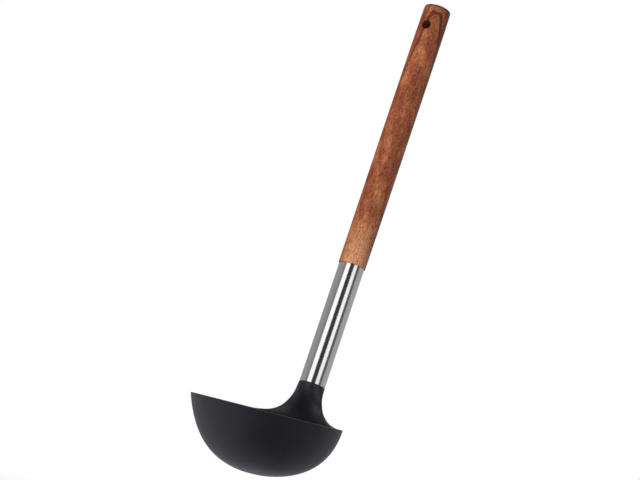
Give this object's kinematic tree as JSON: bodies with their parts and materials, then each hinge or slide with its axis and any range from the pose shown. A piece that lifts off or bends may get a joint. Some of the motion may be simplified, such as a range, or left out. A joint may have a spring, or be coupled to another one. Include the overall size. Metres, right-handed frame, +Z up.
{
  "type": "soup ladle",
  "caption": "Soup ladle: a black nylon bowl whose neck plugs into a brushed steel tube, and a turned acacia rod handle with a hanging hole.",
  "frame": {"origin": "centre of the small flat foot under the bowl", "axes": "+Z up, square to the level rim; +Y from the bowl's centre toward the neck and handle, which lean outward; +X to the right when the neck is at the back"},
  "size_m": [0.0909, 0.14, 0.3094],
  "materials": {
    "black_nylon": "satin moulded nylon",
    "adhesive": "cured clear epoxy",
    "brushed_stainless": "fine brushing round the tube",
    "acacia": "oiled, smooth turned"
  },
  "bodies": {
    "root": {"ladle_head": "black_nylon", "head_bond": "adhesive", "steel_sleeve": "brushed_stainless", "handle_bond": "adhesive", "wood_handle": "acacia"}
  },
  "joints": []
}
